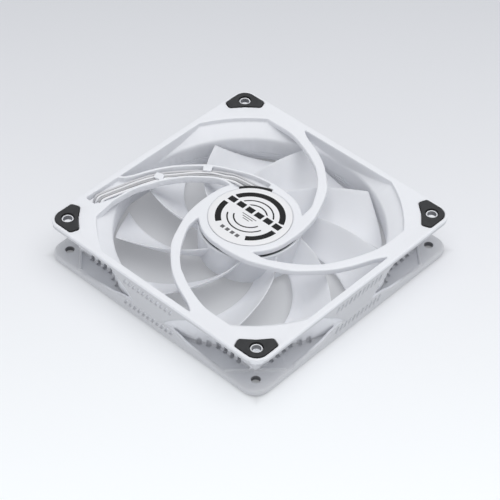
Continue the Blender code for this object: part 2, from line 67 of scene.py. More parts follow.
def make(name, verts, faces, merge=True):
    mesh = bpy.data.meshes.new(name)
    mesh.from_pydata([Vector(v) * MM for v in verts], [], faces)
    bm = bmesh.new()
    bm.from_mesh(mesh)
    if merge:
        bmesh.ops.remove_doubles(bm, verts=bm.verts, dist=1e-7)
    bmesh.ops.recalc_face_normals(bm, faces=bm.faces)
    bm.to_mesh(mesh)
    bm.free()
    return link(name, mesh)


def loft(name, rings):
    n = len(rings[0])
    verts = [p for ring in rings for p in ring]
    faces = [list(range(n))[::-1], [(len(rings) - 1) * n + i for i in range(n)]]
    for k in range(len(rings) - 1):
        for i in range(n):
            j = (i + 1) % n
            faces.append([k * n + i, k * n + j, (k + 1) * n + j, (k + 1) * n + i])
    return make(name, verts, faces)


def prism(name, outline, z0, z1):
    return loft(name, [[(x, y, z0) for x, y in outline], [(x, y, z1) for x, y in outline]])


def lathe(name, profile, steps=256):
    """Turns a profile of (r, z) about Z. A profile that doesn't start and end at r = 0 is a closed loop."""
    solid = profile[0][0] == 0 and profile[-1][0] == 0
    verts, rings = [], []
    for r, z in profile:
        if r == 0:
            rings.append([len(verts)] * steps)
            verts.append((0, 0, z))
            continue
        rings.append(list(range(len(verts), len(verts) + steps)))
        for i in range(steps):
            a = 2 * math.pi * i / steps
            verts.append((r * math.cos(a), r * math.sin(a), z))
    faces = []
    for k in range(len(rings) - (1 if solid else 0)):
        low, high = rings[k], rings[(k + 1) % len(rings)]
        for i in range(steps):
            j = (i + 1) % steps
            face = []
            for v in (low[i], low[j], high[j], high[i]):
                if v not in face:
                    face.append(v)
            if len(face) > 2:
                faces.append(face)
    return make(name, verts, faces)


def box(name, low, high):
    x0, y0, z0 = low
    x1, y1, z1 = high
    return prism(name, [(x0, y0), (x1, y0), (x1, y1), (x0, y1)], z0, z1)


def disc(x, y, r, steps=48):
    return [(x + r * math.cos(2 * math.pi * i / steps), y + r * math.sin(2 * math.pi * i / steps)) for i in range(steps)]


def rounded_square(half, radius, steps=16):
    points = []
    for k, (sx, sy) in enumerate([(1, 1), (-1, 1), (-1, -1), (1, -1)]):
        for i in range(steps + 1):
            a = math.pi / 2 * (k + i / steps)
            points.append((sx * (half - radius) + radius * math.cos(a), sy * (half - radius) + radius * math.sin(a)))
    return points


def rounded(points, radii, steps=8):
    out = []
    n = len(points)
    for i in range(n):
        p, a, b = Vector(points[i]), Vector(points[i - 1]), Vector(points[(i + 1) % n])
        r = radii[i]
        if r <= 0:
            out.append(tuple(p))
            continue
        da, db = (a - p).normalized(), (b - p).normalized()
        half = da.angle(db) / 2
        reach = r / math.tan(half)
        centre = p + (da + db).normalized() * (r / math.sin(half))
        start, end = p + da * reach - centre, p + db * reach - centre
        turn = start.angle_signed(end)
        for k in range(steps + 1):
            t = -turn * k / steps
            out.append((centre.x + start.x * math.cos(t) - start.y * math.sin(t), centre.y + start.x * math.sin(t) + start.y * math.cos(t)))
    return out


def quarter(points, k):
    for _ in range(k % 4):
        points = [(-p[1], p[0], *p[2:]) for p in points]
    return points


def spline(points, steps):
    pts = [Vector(p) for p in points]
    pts = [2 * pts[0] - pts[1], *pts, 2 * pts[-1] - pts[-2]]
    out = []
    for i in range(1, len(pts) - 2):
        a, b, c, d = pts[i - 1 : i + 3]
        for k in range(steps):
            t = k / steps
            out.append(0.5 * (2 * b + (c - a) * t + (2 * a - 5 * b + 4 * c - d) * t**2 + (3 * b - a - 3 * c + d) * t**3))
    out.append(pts[-2])
    return [tuple(p) for p in out]


def offset(path, dist, closed=False):
    """The path moved to its left by a distance."""
    out = []
    n = len(path)
    for i, p in enumerate(path):
        a = Vector(path[(i - 1) % n if closed else max(i - 1, 0)])
        b = Vector(path[(i + 1) % n if closed else min(i + 1, n - 1)])
        d = (b - a).normalized()
        out.append((p[0] - d.y * dist, p[1] + d.x * dist))
    return out


def area2(outline):
    return sum(a[0] * b[1] - b[0] * a[1] for a, b in zip(outline, outline[1:] + outline[:1]))


def soft_prism(name, outline, z0, z1, low, high):
    """A plate whose rims are rounded by low and high."""
    if area2(outline) < 0:
        outline = outline[::-1]
    rings = []
    for z, inset in (
        (z0, low), (z0 + low * 0.3, low * 0.3), (z0 + low, 0),
        (z1 - high, 0), (z1 - high * 0.3, high * 0.3), (z1, high),
    ):
        ring = offset(outline, inset, closed=True) if inset else outline
        rings.append([(x, y, z) for x, y in ring])
    return loft(name, rings)


def boolean(obj, other, operation):
    mod = obj.modifiers.new("cut", "BOOLEAN")
    mod.operation = operation
    mod.object = other
    mod.solver = "MANIFOLD"
    bpy.context.view_layer.update()
    graph = bpy.context.evaluated_depsgraph_get()
    mesh = bpy.data.meshes.new_from_object(obj.evaluated_get(graph))
    obj.modifiers.clear()
    old, obj.data = obj.data, mesh
    bpy.data.meshes.remove(old)
    bpy.data.objects.remove(other, do_unlink=True)
    return obj


def bake(obj):
    """Applies the object's modifiers."""
    bpy.context.view_layer.update()
    graph = bpy.context.evaluated_depsgraph_get()
    mesh = bpy.data.meshes.new_from_object(obj.evaluated_get(graph))
    obj.modifiers.clear()
    old, obj.data = obj.data, mesh
    bpy.data.meshes.remove(old)
    return obj


def moulded(obj, voxel, rounds, most):
    """Remeshes a sharp solid into one skin with small radii on its edges and in its corners, as a mould leaves them."""
    mod = obj.modifiers.new("skin", "REMESH")
    mod.mode = "VOXEL"
    mod.voxel_size = voxel * MM
    mod.adaptivity = 0.0
    bake(obj)
    mesh = obj.data
    n = len(mesh.vertices)
    co = np.empty(n * 3)
    mesh.vertices.foreach_get("co", co)
    co = co.reshape(-1, 3)
    edges = np.empty(len(mesh.edges) * 2, np.int64)
    mesh.edges.foreach_get("vertices", edges)
    edges = edges.reshape(-1, 2)
    count = np.bincount(edges.ravel(), minlength=n)[:, None].astype(float)
    for step in range(rounds):
        total = np.zeros_like(co)
        for axis in range(3):
            total[:, axis] = np.bincount(edges[:, 0], weights=co[edges[:, 1], axis], minlength=n)
            total[:, axis] += np.bincount(edges[:, 1], weights=co[edges[:, 0], axis], minlength=n)
        # Every second step pushes back, so that the skin gets smooth without shrinking.
        factor = 0.6 if step % 2 == 0 else -0.45
        co = co + factor * (total / count - co)
    mesh.vertices.foreach_set("co", co.astype(np.float32).ravel())
    mesh.update()
    faces = len(mesh.polygons) * 2
    if faces > most:
        mod = obj.modifiers.new("thin", "DECIMATE")
        mod.ratio = most / faces
        bake(obj)
    obj.data.shade_smooth()
    return obj


# ------------------------------------------------------------------ frame
def flange(name, z0, z1, low, high):
    steps = 5
    levels = [(z0 + low * (1 - math.cos(a)), low * (1 - math.sin(a))) for a in [math.pi / 2 * i / steps for i in range(steps + 1)]]
    levels += [(z1 - high * (1 - math.sin(a)), high * (1 - math.cos(a))) for a in [math.pi / 2 * i / steps for i in range(steps + 1)]]
    levels = sorted(set((round(z, 5), round(c, 5)) for z, c in levels))
    return loft(name, [[(x, y, z) for x, y in rounded_square(HALF - c, CORNER_R - c)] for z, c in levels])


def wall_radius(angle, z):
    phi = (angle + math.pi / 4) % (math.pi / 2) - math.pi / 4
    width = 8.0 + 17.0 * max(0.0, (z - 8.0) / 14.0) ** 1.3
    u = abs(HALF * math.tan(phi))
    depth = 0.03 + 0.16 * max(0.0, u - width) ** 2
    flush = (HALF - depth) / math.cos(phi) if depth < 12 else 0
    cone = min(BORE_R + (z - 15.4) * 1.065 + 1.3, (HALF - 0.03) / math.cos(phi))
    return max(WALL_R, BLOCK / math.cos(phi), flush, cone)


def frame_solid():
    spans = 480
    levels = [1.6] + [3.0 + 1.0 * i for i in range(19)] + [22.4]
    solid = loft(
        "frame_skin",
        [
            [
                (
                    wall_radius(2 * math.pi * i / spans, z) * math.cos(2 * math.pi * i / spans),
                    wall_radius(2 * math.pi * i / spans, z) * math.sin(2 * math.pi * i / spans),
                    z,
                )
                for i in range(spans)
            ]
            for z in levels
        ],
    )
    boolean(solid, flange("low", Z_BOT, LOW_TOP, 0.6, 1.5), "UNION")
    boolean(solid, flange("up", UP_BOT, Z_TOP, 0.4, 0.6), "UNION")

    side_profile = [
        (-46.5, 3.2), (46.5, 3.2), (41, 4.3), (32, 5.2), (25, 5.8), (20, 7.4), (16, 8.1), (7.5, 8.4),
        (-7.5, 8.4), (-16, 8.1), (-20, 7.4), (-25, 5.8), (-32, 5.2), (-41, 4.3),
    ]
    top = spline(side_profile[1:], 6)
    profile = [side_profile[0], *top]
    for k in range(4):
        rings = []
        for depth, drop in ((1.9, 0), (1.0, 0), (0.6, 0.12), (0.25, 0.4), (0.03, 1.0)):
            rings.append(quarter([(u, -HALF + depth, z - (drop if z > 3.3 else 0)) for u, z in profile], k))
        boolean(solid, loft("side", rings), "UNION")

    for k in range(4):
        rib = [(48.6, -68.7), (68.7, -48.6), (67.9, -47.8), (47.8, -67.9)]
        boolean(solid, prism("rib", quarter(rib, k), 3.3, 4.7), "UNION")
        # A short pair of upright ribs at the middle of each corner rib.
        for s in (-1, 1):
            c = 58.25
            a, b = c + s * 1.1 - 0.45, c + s * 1.1 + 0.45
            upright = [(a, a - 117.0), (b, b - 117.0), (b - 2.6, b - 117.0 + 2.6), (a - 2.6, a - 117.0 + 2.6)]
            boolean(solid, prism("rib", quarter(upright, k), 3.3, 5.4), "UNION")

    duct = lathe(
        "duct",
        [
            (0, -2), (71.2, -2), (71.2, 0.5), (70.2, 0.8), (69.2, 1.3), (68.4, 2.0), (67.8, 3.1), (67.3, 3.2), (67.3, 4.45),
            (67.7, 4.5), (67.7, 4.95), (66.9, 5.0), (66.9, 6.05), (67.35, 6.1), (67.35, 6.55), (66.65, 6.6), (66.65, 7.6),
            (67.2, 7.65), (67.2, 8.2), (BORE_R, 8.25), (BORE_R, 15.4), (66.5, 16.2), (66.75, 16.9),
            (67.2, 17.4), (73.6, 21.7), (74.0, 21.9), (MOUTH_R, 22.2), (MOUTH_R, 24.0), (74.3, 24.25), (74.6, 24.45),
            (74.6, 27), (0, 27),
        ],
        360,
    )
    mouth = loft(
        "mouth",
        [
            [(x * h, y * h, z) for x, y in ((-1, -1), (1, -1), (1, 1), (-1, 1))]
            for h, z in ((MOUTH + 0.6, -3), (MOUTH + 0.6, 0.55), (MOUTH, 1.1), (MOUTH, 24.0), (MOUTH + 0.1, 24.25), (MOUTH + 0.4, 24.45), (MOUTH + 0.4, 28))
        ],
    )
    boolean(duct, mouth, "INTERSECT")
    boolean(solid, duct, "DIFFERENCE")

    for k in range(4):
        for side in (-1, 1):
            for step in range(6):
                u = side * (27.4 + 4.3 * step)
                face = math.sqrt(WALL_R**2 - u**2) if abs(u) < 35.9 else BLOCK
                deep = 1.05 if step < 3 else 2.2
                spot = [(u - 1.0, -face - 1.0), (u + 1.0, -face - 1.0), (u + 1.0, -face + deep), (u - 1.0, -face + deep)]
                boolean(solid, prism("spot", quarter(spot, k), LOW_TOP - 1.0, 6.6), "DIFFERENCE")

    # Two rows of plain slanted grooves, a generic grip pattern, at the middle of each side.
    for k in range(4):
        for z0, z1 in ((17.4, 20.8), (3.9, 7.3)):
            for i in range(11):
                u = (i - 5) * 3.0
                lean = 0.9
                low = [(u - 0.75 - lean, z0), (u + 0.75 - lean, z0), (u + 0.75 + lean, z1), (u - 0.75 + lean, z1)]
                rings = [quarter([(x, -HALF + d, z) for x, z in low], k) for d in (1.0, -1.0)]
                boolean(solid, loft("groove", rings), "DIFFERENCE")
    # A narrow groove along the upper edge of each low side panel.
    for k in range(4):
        line = top[4:-4]
        band = [(u, z + 0.15) for u, z in line] + [(u, z - 0.45) for u, z in line[::-1]]
        rings = [quarter([(u, -HALF + d, z) for u, z in band], k) for d in (0.45, -1.0)]
        boolean(solid, loft("groove", rings), "DIFFERENCE")
    return solid


BULGE = [(-22, 64.6), (-18, 62.4), (-10, 59.1), (-5, 56.6), (0, 53.5), (5, 49.4), (11.8, 42.8), (15.1, 38.6),
         (18.3, 32.6), (22.8, 22.0), (24.3, 15.5), (25.0, 10.0), (25.2, 5.0), (24.9, 0.5)]
HOLLOW = [(17.9, 16.5), (16.7, 25.2), (14.4, 29.8), (11.3, 35.1), (7.6, 40.2), (3.6, 44.6), (-1, 48.5),
          (-5, 50.9), (-10, 53.5), (-15, 55.7), (-20, 57.5), (-25, 59.0), (-31, 59.8), (-44, 59.8)]
INNER = [(-53.6, -51), (-54.5, -45), (-55.6, -38), (-55.3, -33.3), (-54.9, -29), (-54.0, -23.8), (-51.0, -16.3),
         (-48.5, -10.5), (-42.6, -1.7), (-36.3, 4.3), (-31.6, 8.0), (-27, 9.8), (-21.0, 9.8)]


def add_arms(solid):
    bulge, hollow = spline(BULGE, 5), spline(HOLLOW, 5)
    arm = [(-46, 61), (-46, 68), (-24, 68), (-24, 66.0), *bulge, *hollow]
    for k in (0, 3, 2):
        boolean(solid, soft_prism("arm", quarter(arm, k), ARM_BOT, Z_TOP, 0.4, 0.55), "UNION")
    outer_rail = quarter(bulge, 1)
    inner_edge = INNER[:3] + spline(INNER[3:], 5)
    keep = [p for p in outer_rail if math.hypot(*p) > 26.6 or p[0] < -9.9]
    arc = [(23.4 * math.cos(math.radians(a)), 23.4 * math.sin(math.radians(a))) for a in range(108, 155, 4)]
    floor = [(-68, -24), (-66, -24), *keep, *arc, *inner_edge[-2::-1], (-60, -53), (-68, -53)]
    boolean(solid, prism("floor", floor, CHANNEL_BOT, CHANNEL_FLOOR), "UNION")
    rail = [(-67.5, -24), *outer_rail]
    strip = rail + offset(rail, -1.15)[::-1]
    boolean(solid, prism("rail", strip, CHANNEL_BOT + 0.2, Z_TOP), "UNION")
    inner = inner_edge[2:]
    strip = inner + offset(inner, 1.15)[::-1]
    boolean(solid, prism("rail", strip, CHANNEL_BOT + 0.2, Z_TOP), "UNION")
    plate = [(-53.6, -51), (-54.5, -45), (-55.6, -38), (-57.0, -37.5), (-60.0, -45.5), (-68, -45.5), (-68, -53), (-58, -53)]
    boolean(solid, soft_prism("plate", plate, UP_BOT, Z_TOP, 0.3, 0.3), "UNION")
    for tab in (
        [(-42.6, 11.8), (-38.9, 14.3), (-36.6, 10.6), (-40.2, 8.2)],
        [(-55.6, -8.4), (-51.2, -7.2), (-49.2, -11.2), (-54.2, -12.2)],
    ):
        boolean(solid, prism("tab", rounded(tab, [0.6] * 4, 4), 23.4, Z_TOP), "UNION")
    plate = lathe(
        "hub_plate",
        [(0, ARM_BOT), (5.75, ARM_BOT), (5.75, 18.0), (7.2, 18.0), (7.2, ARM_BOT), (PLATE_R - 0.4, ARM_BOT), (PLATE_R, ARM_BOT + 0.4),
         (PLATE_R, Z_TOP - 0.6), (PLATE_R - 0.18, Z_TOP - 0.18), (PLATE_R - 0.6, Z_TOP), (0, Z_TOP)],
        240,
    )
    boolean(solid, plate, "UNION")
    recess = lathe("recess", [(0, 23.6), (20.9, 23.6), (20.9, 24.15), (21.2, 24.45), (21.2, 26), (0, 26)], 240)
    boolean(solid, recess, "DIFFERENCE")
    angles = [math.radians(103 + 46 * i / 20) for i in range(21)]
    slot = [(20.3 * math.cos(a), 20.3 * math.sin(a)) for a in angles]
    slot += [(22.6 * math.cos(a), 22.6 * math.sin(a)) for a in angles[::-1]]
    boolean(solid, prism("slot", slot, 19, 26), "DIFFERENCE")
    angles = [math.radians(110 + 43 * i / 12) for i in range(13)]
    gap = [(21.8 * math.cos(a), 21.8 * math.sin(a)) for a in angles]
    gap += [(25.6 * math.cos(a), 25.6 * math.sin(a)) for a in angles[::-1]]
    boolean(solid, prism("gap", gap, CHANNEL_FLOOR, 26), "DIFFERENCE")
    trench = [(-66.4, -26.0), (-66.9, -46.0), (-60.4, -46.0), (-58.6, -37.0), (-57.9, -30.0), (-60.0, -25.0)]
    boolean(solid, prism("trench", rounded(trench, [1.0, 1.0, 1.0, 2.0, 2.0, 1.0], 4), CHANNEL_FLOOR, 26), "DIFFERENCE")
    well = [(-66.9, -46.0), (-66.9, -38.6), (-59.9, -38.6), (-59.9, -42.0), (-61.0, -46.0)]
    boolean(solid, prism("well", rounded(well, [1.2] * 5, 4), 17, 26), "DIFFERENCE")


PAD = [(54.2, 68.3), (52.6, 63.9), (58.8, 58.8), (63.9, 52.6), (68.3, 54.2), (68.3, 68.3)]
PAD_ROUND = [1.5, 1.4, 8.0, 1.4, 1.5, 5.9]


def pad_outline(grow, steps=8):
    centre = Vector((62.6, 62.6))
    points = []
    for p in PAD:
        d = Vector(p) - centre
        points.append(tuple(centre + d * (1 + grow / (0.82 * d.length))))
    return rounded(points, [r + grow if i != 2 else r for i, r in enumerate(PAD_ROUND)], steps)


def add_holes(solid):
    for k in range(4):
        hx, hy = quarter([(HOLE, HOLE)], k)[0]
        boolean(solid, prism("pocket", quarter(pad_outline(0.3), k), 22.9, 27), "DIFFERENCE")
        boolean(solid, prism("pocket", quarter(pad_outline(0.3), k), -1, 2.1), "DIFFERENCE")
        boolean(solid, prism("boss", disc(hx, hy, 2.9), 22.4, Z_TOP - 0.2), "UNION")
        boolean(solid, prism("boss", disc(hx, hy, 2.9), Z_BOT + 0.2, 2.8), "UNION")
        bore = loft(
            "hole",
            [[(x, y, z) for x, y in disc(hx, hy, r)] for r, z in ((2.5, -2), (2.5, 0.75), (HOLE_R, 1.1), (HOLE_R, 23.9), (2.5, 24.25), (2.5, 30))],
        )
        boolean(solid, bore, "DIFFERENCE")
    boolean(solid, box("notch", (-72, -47.8, 3.7), (-66, -36.2, 8)), "DIFFERENCE")
    boolean(solid, box("cheek", (-69.0, -49.0, 3.2), (-61, -47.8, 9.0)), "UNION")
    boolean(solid, box("cheek", (-69.0, -36.2, 3.2), (-61, -35.0, 9.0)), "UNION")


# ------------------------------------------------------------------ impeller
def trailing(r):
    t = (r - 25.0) / (TIP_R - 25.0)
    return -16.0 - 47.0 * t + 12.0 * t * t, 18.4 - 2.9 * t


def leading(r):
    t = (r - 25.0) / (TIP_R - 25.0)
    return -42.5 - 37.0 * t, 4.2 - 1.2 * t


def blade(turn, rows=36, cols=24):
    top, low = [], []
    for i in range(rows + 1):
        r = 24.9 + (TIP_R - 24.9) * i / rows
        (a0, z0), (a1, z1) = trailing(r), leading(r)
        thick = 1.7 - 0.7 * i / rows
        for j in range(cols + 1):
            t = 0.5 - 0.5 * math.cos(math.pi * j / cols)
            angle = math.radians(a0 + (a1 - a0) * t + turn)
            z = z0 + (z1 - z0) * (t + (0.4 + 0.7 * i / rows) * t * (1 - t))
            half = thick / 2 * min(1.0, 0.7 + 1.5 * math.sin(math.pi * t))
            top.append((r * math.cos(angle), r * math.sin(angle), z + half))
            low.append((r * math.cos(angle), r * math.sin(angle), z - half))
    n = (rows + 1) * (cols + 1)
    w = cols + 1
    faces = []
    for i in range(rows):
        for j in range(cols):
            a, b, c, d = i * w + j, i * w + j + 1, (i + 1) * w + j + 1, (i + 1) * w + j
            faces.append([a, b, c, d])
            faces.append([n + d, n + c, n + b, n + a])
        for j in (0, cols):
            a, b = i * w + j, (i + 1) * w + j
            faces.append([a, b, n + b, n + a])
    for j in range(cols):
        for i in (0, rows):
            a, b = i * w + j, i * w + j + 1
            faces.append([a, b, n + b, n + a])
    return make("blade", top + low, faces)


def impeller_solid():
    solid = lathe(
        "impeller_skin",
        [
            (0, HUB_BOT), (23.2, HUB_BOT), (24.2, HUB_BOT + 0.25), (25.0, HUB_BOT + 0.8), (25.45, HUB_BOT + 1.5), (HUB_R, HUB_BOT + 2.4),
            (HUB_R, HUB_TOP - 0.3), (HUB_R - 0.3, HUB_TOP), (24.4, HUB_TOP), (24.4, 4.45), (0, 4.45),
        ],
        240,
    )
    for i in range(BLADES):
        boolean(solid, blade(40.0 * i), "UNION")
    return solid


# ------------------------------------------------------------------ materials
def nodes_of(name):
    mat = bpy.data.materials.new(name)
    mat.use_nodes = True
    tree = mat.node_tree
    shader = tree.nodes["Principled BSDF"]
    return mat, tree, shader


def plastic(name, colour, rough, grain=0.18, bump=0.05, mottle=0.015, sss=0.0, spec=0.5, lower=1.0):
    """Moulded plastic: a fine spark-eroded grain, a slow drift in tone and gloss, and faint flow marks.
    lower paints shade: it darkens the outer side below the upper flange, down to that factor on the low flange."""
    mat, tree, shader = nodes_of(name)
    new, wire = tree.nodes.new, tree.links.new
    coord = new("ShaderNodeTexCoord")
    fine = new("ShaderNodeTexNoise")
    fine.inputs["Scale"].default_value = 1000.0 / grain / 10
    fine.inputs["Detail"].default_value = 3.0
    wire(coord.outputs["Object"], fine.inputs["Vector"])
    slow = new("ShaderNodeTexNoise")
    slow.inputs["Scale"].default_value = 38.0
    slow.inputs["Detail"].default_value = 4.0
    slow.inputs["Roughness"].default_value = 0.55
    slow.inputs["Distortion"].default_value = 0.6
    wire(coord.outputs["Object"], slow.inputs["Vector"])
    ramp = new("ShaderNodeValToRGB")
    lo = [max(0.0, c - mottle) for c in colour]
    hi = [min(1.0, c + mottle * 0.6) for c in colour]
    ramp.color_ramp.elements[0].position = 0.3
    ramp.color_ramp.elements[0].color = (*lo, 1)
    ramp.color_ramp.elements[1].position = 0.7
    ramp.color_ramp.elements[1].color = (*hi, 1)
    wire(slow.outputs["Fac"], ramp.inputs["Fac"])
    shade = ramp.outputs["Color"]
    # Painted shade: the outer side below the upper flange and the low flange are darkened by a fixed factor.
    if lower < 1.0:
        part = new("ShaderNodeSeparateXYZ")
        wire(coord.outputs["Object"], part.inputs["Vector"])
        flat = new("ShaderNodeCombineXYZ")
        wire(part.outputs["X"], flat.inputs["X"])
        wire(part.outputs["Y"], flat.inputs["Y"])
        reach = new("ShaderNodeVectorMath")
        reach.operation = "LENGTH"
        wire(flat.outputs["Vector"], reach.inputs[0])
        outer = new("ShaderNodeMapRange")
        outer.inputs["From Min"].default_value = 0.0678
        outer.inputs["From Max"].default_value = 0.0686
        wire(reach.outputs["Value"], outer.inputs["Value"])
        def fade(value, start, end, low=0.0, high=1.0):
            node = new("ShaderNodeMapRange")
            node.inputs["From Min"].default_value = start
            node.inputs["From Max"].default_value = end
            node.inputs["To Min"].default_value = low
            node.inputs["To Max"].default_value = high
            wire(value, node.inputs["Value"])
            return node.outputs["Result"]

        def sums(kind, a, b=None):
            node = new("ShaderNodeMath")
            node.operation = kind
            wire(a, node.inputs[0])
            if b is not None:
                wire(b, node.inputs[1])
            return node.outputs["Value"]

        square = sums("MAXIMUM", sums("ABSOLUTE", part.outputs["X"]), sums("ABSOLUTE", part.outputs["Y"]))
        side = sums("MULTIPLY", fade(square, 0.0690, 0.0696, 0.0, 1.0), fade(part.outputs["Z"], 0.0226, 0.0234, 1.0, 0.0))
        flange = fade(part.outputs["Z"], 0.0049, 0.0056, 1.0, 0.0)
        both = new("ShaderNodeMath")
        both.operation = "MULTIPLY"
        wire(outer.outputs["Result"], both.inputs[0])
        wire(sums("MAXIMUM", side, flange), both.inputs[1])
        painted_side_shade = new("ShaderNodeMix")
        painted_side_shade.data_type = "RGBA"
        painted_side_shade.blend_type = "MULTIPLY"
        painted_side_shade.inputs[7].default_value = (lower, lower, lower, 1)
        wire(both.outputs["Value"], painted_side_shade.inputs["Factor"])
        wire(shade, painted_side_shade.inputs[6])
        shade = painted_side_shade.outputs[2]
        # Painted shade: deep in the four screw holes the plastic colour is darkened.
        off = new("ShaderNodeCombineXYZ")
        for axis in "XY":
            away = new("ShaderNodeMath")
            away.operation = "SUBTRACT"
            wire(sums("ABSOLUTE", part.outputs[axis]), away.inputs[0])
            away.inputs[1].default_value = HOLE * MM
            wire(away.outputs["Value"], off.inputs[axis])
        bore = new("ShaderNodeVectorMath")
        bore.operation = "LENGTH"
        wire(off.outputs["Vector"], bore.inputs[0])
        hole = new("ShaderNodeMix")
        hole.data_type = "RGBA"
        hole.blend_type = "MULTIPLY"
        hole.inputs[7].default_value = (0.3, 0.3, 0.31, 1)
        wire(fade(bore.outputs["Value"], 0.00218, 0.0024, 1.0, 0.0), hole.inputs["Factor"])
        wire(shade, hole.inputs[6])
        shade = hole.outputs[2]
    wire(shade, shader.inputs["Base Color"])
    gloss = new("ShaderNodeMapRange")
    gloss.inputs["From Min"].default_value = 0.25
    gloss.inputs["From Max"].default_value = 0.75
    gloss.inputs["To Min"].default_value = rough - 0.05
    gloss.inputs["To Max"].default_value = rough + 0.07
    wire(slow.outputs["Fac"], gloss.inputs["Value"])
    wire(gloss.outputs["Result"], shader.inputs["Roughness"])
    rise = new("ShaderNodeBump")
    rise.inputs["Strength"].default_value = bump
    rise.inputs["Distance"].default_value = 0.0001
    wire(fine.outputs["Fac"], rise.inputs["Height"])
    wire(rise.outputs["Normal"], shader.inputs["Normal"])
    shader.inputs["Specular IOR Level"].default_value = spec
    if sss:
        shader.inputs["Subsurface Weight"].default_value = sss
        shader.inputs["Subsurface Radius"].default_value = (1.0, 0.95, 0.9)
        shader.inputs["Subsurface Scale"].default_value = 0.0025
    return mat


def rubber(name):
    mat, tree, shader = nodes_of(name)
    new, wire = tree.nodes.new, tree.links.new
    coord = new("ShaderNodeTexCoord")
    fine = new("ShaderNodeTexNoise")
    fine.inputs["Scale"].default_value = 2600.0
    fine.inputs["Detail"].default_value = 4.0
    wire(coord.outputs["Object"], fine.inputs["Vector"])
    slow = new("ShaderNodeTexNoise")
    slow.inputs["Scale"].default_value = 260.0
    slow.inputs["Detail"].default_value = 5.0
    slow.inputs["Roughness"].default_value = 0.65
    wire(coord.outputs["Object"], slow.inputs["Vector"])
    ramp = new("ShaderNodeValToRGB")
    ramp.color_ramp.elements[0].position = 0.35
    ramp.color_ramp.elements[0].color = (0.026, 0.0268, 0.029, 1)
    ramp.color_ramp.elements[1].position = 0.72
    ramp.color_ramp.elements[1].color = (0.043, 0.044, 0.047, 1)
    wire(slow.outputs["Fac"], ramp.inputs["Fac"])
    # Painted shade: the pads' sides and rounded rims are darker than their flat outer faces.
    part = new("ShaderNodeSeparateXYZ")
    wire(coord.outputs["Object"], part.inputs["Vector"])
    middle = new("ShaderNodeMath")
    middle.operation = "SUBTRACT"
    wire(part.outputs["Z"], middle.inputs[0])
    middle.inputs[1].default_value = THICK / 2 * MM
    reach = new("ShaderNodeMath")
    reach.operation = "ABSOLUTE"
    wire(middle.outputs["Value"], reach.inputs[0])
    face = new("ShaderNodeMapRange")
    face.inputs["From Min"].default_value = (THICK / 2 - 0.5) * MM
    face.inputs["From Max"].default_value = (THICK / 2 - 0.12) * MM
    face.inputs["To Min"].default_value = 0.25
    wire(reach.outputs["Value"], face.inputs["Value"])
    tone = new("ShaderNodeVectorMath")
    tone.operation = "SCALE"
    wire(ramp.outputs["Color"], tone.inputs[0])
    wire(face.outputs["Result"], tone.inputs["Scale"])
    wire(tone.outputs["Vector"], shader.inputs["Base Color"])
    gloss = new("ShaderNodeMapRange")
    gloss.inputs["To Min"].default_value = 0.62
    gloss.inputs["To Max"].default_value = 0.86
    wire(slow.outputs["Fac"], gloss.inputs["Value"])
    wire(gloss.outputs["Result"], shader.inputs["Roughness"])
    rise = new("ShaderNodeBump")
    rise.inputs["Strength"].default_value = 0.35
    rise.inputs["Distance"].default_value = 0.00012
    wire(fine.outputs["Fac"], rise.inputs["Height"])
    wire(rise.outputs["Normal"], shader.inputs["Normal"])
    shader.inputs["Specular IOR Level"].default_value = 0.35
    return mat


def metal(name, colour, rough, kind="turned", scale=1800.0):
    """Turned, wound or stacked metal: fine lines round the axis or along the height."""
    mat, tree, shader = nodes_of(name)
    new, wire = tree.nodes.new, tree.links.new
    coord = new("ShaderNodeTexCoord")
    stretch = new("ShaderNodeMapping")
    stretch.inputs["Scale"].default_value = (0.06, 0.06, 1.0) if kind == "turned" else (1.0, 1.0, 1.0)
    wire(coord.outputs["Object"], stretch.inputs["Vector"])
    if kind in ("turned", "plain"):
        lines = new("ShaderNodeTexNoise")
        lines.inputs["Scale"].default_value = scale
        lines.inputs["Detail"].default_value = 3.0
        wire(stretch.outputs["Vector"], lines.inputs["Vector"])
        height = lines.outputs["Fac"]
    else:
        lines = new("ShaderNodeTexWave")
        lines.wave_type = "BANDS"
        lines.bands_direction = "Z"
        lines.inputs["Scale"].default_value = scale
        lines.inputs["Distortion"].default_value = 0.4
        lines.inputs["Detail"].default_value = 1.0
        wire(coord.outputs["Object"], lines.inputs["Vector"])
        height = lines.outputs["Fac"]
    ramp = new("ShaderNodeValToRGB")
    ramp.color_ramp.elements[0].position = 0.25
    ramp.color_ramp.elements[0].color = (*[c * (0.55 if kind != "turned" else 0.85) for c in colour], 1)
    ramp.color_ramp.elements[1].position = 0.75
    ramp.color_ramp.elements[1].color = (*colour, 1)
    wire(height, ramp.inputs["Fac"])
    wire(ramp.outputs["Color"], shader.inputs["Base Color"])
    gloss = new("ShaderNodeMapRange")
    gloss.inputs["To Min"].default_value = max(0.05, rough - 0.08)
    gloss.inputs["To Max"].default_value = rough + 0.12
    wire(height, gloss.inputs["Value"])
    wire(gloss.outputs["Result"], shader.inputs["Roughness"])
    rise = new("ShaderNodeBump")
    rise.inputs["Strength"].default_value = 0.5 if kind not in ("turned", "plain") else 0.12
    rise.inputs["Distance"].default_value = 0.0001
    wire(height, rise.inputs["Height"])
    wire(rise.outputs["Normal"], shader.inputs["Normal"])
    shader.inputs["Metallic"].default_value = 1.0
    return mat


